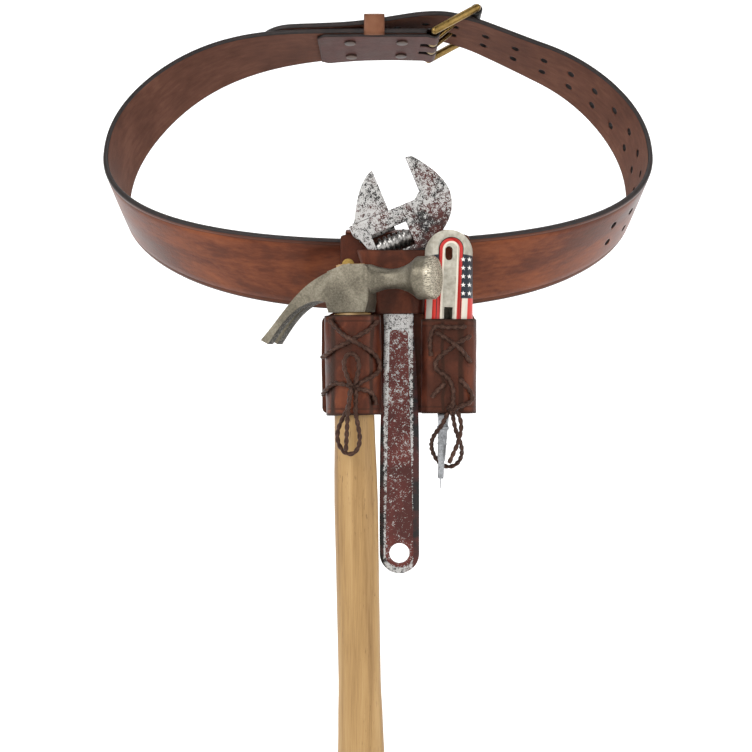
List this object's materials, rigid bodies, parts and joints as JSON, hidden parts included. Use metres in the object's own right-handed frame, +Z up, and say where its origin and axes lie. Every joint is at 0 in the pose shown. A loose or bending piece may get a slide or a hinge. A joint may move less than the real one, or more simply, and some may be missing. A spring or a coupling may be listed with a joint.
{
  "type": "tool belt",
  "caption": "Buckled leather waist belt carrying a laced holster that holds a claw hammer, an adjustable wrench and a slide-out utility knife.",
  "frame": {"origin": "centre of the ring that the strap's top edge makes, where the wearer's waist is", "axes": "+Z up, with the tools hanging plumb; +Y away from the holster, towards the buckle; +X towards the side of the knife"},
  "size_m": [0.3606, 0.269, 0.4888],
  "materials": {
    "strap_leather": "waxed outer face, black painted edges",
    "fold_leather": "flesh side",
    "keeper_leather": "waxed",
    "holster_leather": "dark oiled",
    "lace_leather": "twisted thong",
    "brass_rivet": "antique",
    "brass_buckle": "polished",
    "roller_steel": "blackened",
    "hammer_steel": "worn paint over forged steel",
    "hammer_wood": "varnished ash",
    "wedge_wood": "end grain",
    "wrench_paint": "worn paint with bare silver rims",
    "wrench_steel": "ground",
    "knife_metal": "satin",
    "knife_paint": "printed stars and stripes",
    "blade_steel": "polished"
  },
  "bodies": {
    "belt": {"belt_strap": "strap_leather", "buckle_fold": "fold_leather", "keeper_loop": "keeper_leather", "fold_rivet_1": "brass_rivet", "fold_rivet_2": "brass_rivet", "fold_rivet_3": "brass_rivet", "fold_rivet_4": "brass_rivet", "holster_panel": "holster_leather", "holster_flap": "holster_leather", "stud_front": "brass_rivet", "stud_back_1": "brass_rivet", "stud_back_2": "brass_rivet", "stud_back_3": "brass_rivet", "wrench_loop": "holster_leather", "hammer_sleeve": "holster_leather", "sleeve_welt": "holster_leather", "knife_pocket": "holster_leather", "pocket_welt": "holster_leather", "hammer_lace_over": "lace_leather", "hammer_lace_under": "lace_leather", "hammer_lace_left": "lace_leather", "hammer_lace_right": "lace_leather", "knife_lace_top": "lace_leather", "knife_lace_over": "lace_leather", "knife_lace_under": "lace_leather", "knife_lace_left": "lace_leather", "knife_lace_right": "lace_leather", "hammer_bow_up": "lace_leather", "hammer_bow_down": "lace_leather", "hammer_bow_tail": "lace_leather", "knife_bow_loop": "lace_leather", "knife_bow_tail": "lace_leather", "hammer_knot": "lace_leather", "knife_knot": "lace_leather"},
    "frame": {"buckle_frame": "brass_buckle"},
    "roller": {"buckle_roller": "roller_steel"},
    "prong_a": {"prong_upper": "brass_buckle"},
    "prong_b": {"prong_lower": "brass_buckle"},
    "hammer": {"hammer_handle": "hammer_wood", "hammer_head": "hammer_steel", "hammer_wood_wedge": "wedge_wood", "hammer_steel_wedge": "hammer_steel"},
    "wrench": {"wrench_body": "wrench_paint", "worm_pin": "wrench_steel"},
    "jaw": {"wrench_jaw": "wrench_paint"},
    "worm": {"wrench_worm": "wrench_steel"},
    "knife": {"knife_shell_left": "knife_paint", "knife_shell_right": "knife_paint", "knife_inlay": "knife_metal", "knife_nose": "knife_metal"},
    "blade": {"knife_carrier": "blade_steel", "knife_slider": "roller_steel", "knife_blade": "blade_steel"}
  },
  "joints": [
    {"name": "frame_swing", "type": "hinge", "parent": "belt", "child": "frame", "pos_m": [0.0366, 0.09252, 0.06058], "axis": [0.0567, -0.9684, 0.2427], "range_deg": [-1.5, 1.5]},
    {"name": "roller_spin", "type": "hinge", "parent": "frame", "child": "roller", "pos_m": [0.06496, 0.09816, 0.07648], "axis": [0.0567, -0.9684, 0.2427], "continuous": true},
    {"name": "prong_a_swing", "type": "hinge", "parent": "frame", "child": "prong_a", "pos_m": [0.0366, 0.09252, 0.06058], "axis": [0.0567, -0.9684, 0.2427], "range_deg": [0, 1.5]},
    {"name": "prong_b_swing", "type": "hinge", "parent": "frame", "child": "prong_b", "pos_m": [0.0366, 0.09252, 0.06058], "axis": [0.0567, -0.9684, 0.2427], "range_deg": [0, 1.5]},
    {"name": "hammer_draw", "type": "slide", "parent": "belt", "child": "hammer", "axis": [-0.02, 0, 0.9998], "range_m": [0, 0.272]},
    {"name": "wrench_draw", "type": "slide", "parent": "belt", "child": "wrench", "axis": [0, 0, 1], "range_m": [0, 0.21]},
    {"name": "jaw_slide", "type": "slide", "parent": "wrench", "child": "jaw", "axis": [0.9239, 0, 0.3827], "range_m": [-0.004, 0.016]},
    {"name": "worm_spin", "type": "hinge", "parent": "wrench", "child": "worm", "pos_m": [0.00742, -0.0902, -0.08232], "axis": [0.9239, 0, 0.3827], "continuous": true},
    {"name": "knife_draw", "type": "slide", "parent": "belt", "child": "knife", "axis": [0, 0, 1], "range_m": [0, 0.104]},
    {"name": "blade_slide", "type": "slide", "parent": "knife", "child": "blade", "axis": [0.0454, 0, 0.999], "range_m": [0, 0.022]}
  ],
  "couplings": [
    {"joint": "worm_spin", "follows": "jaw_slide", "rad_per_m": 1963.5}
  ]
}
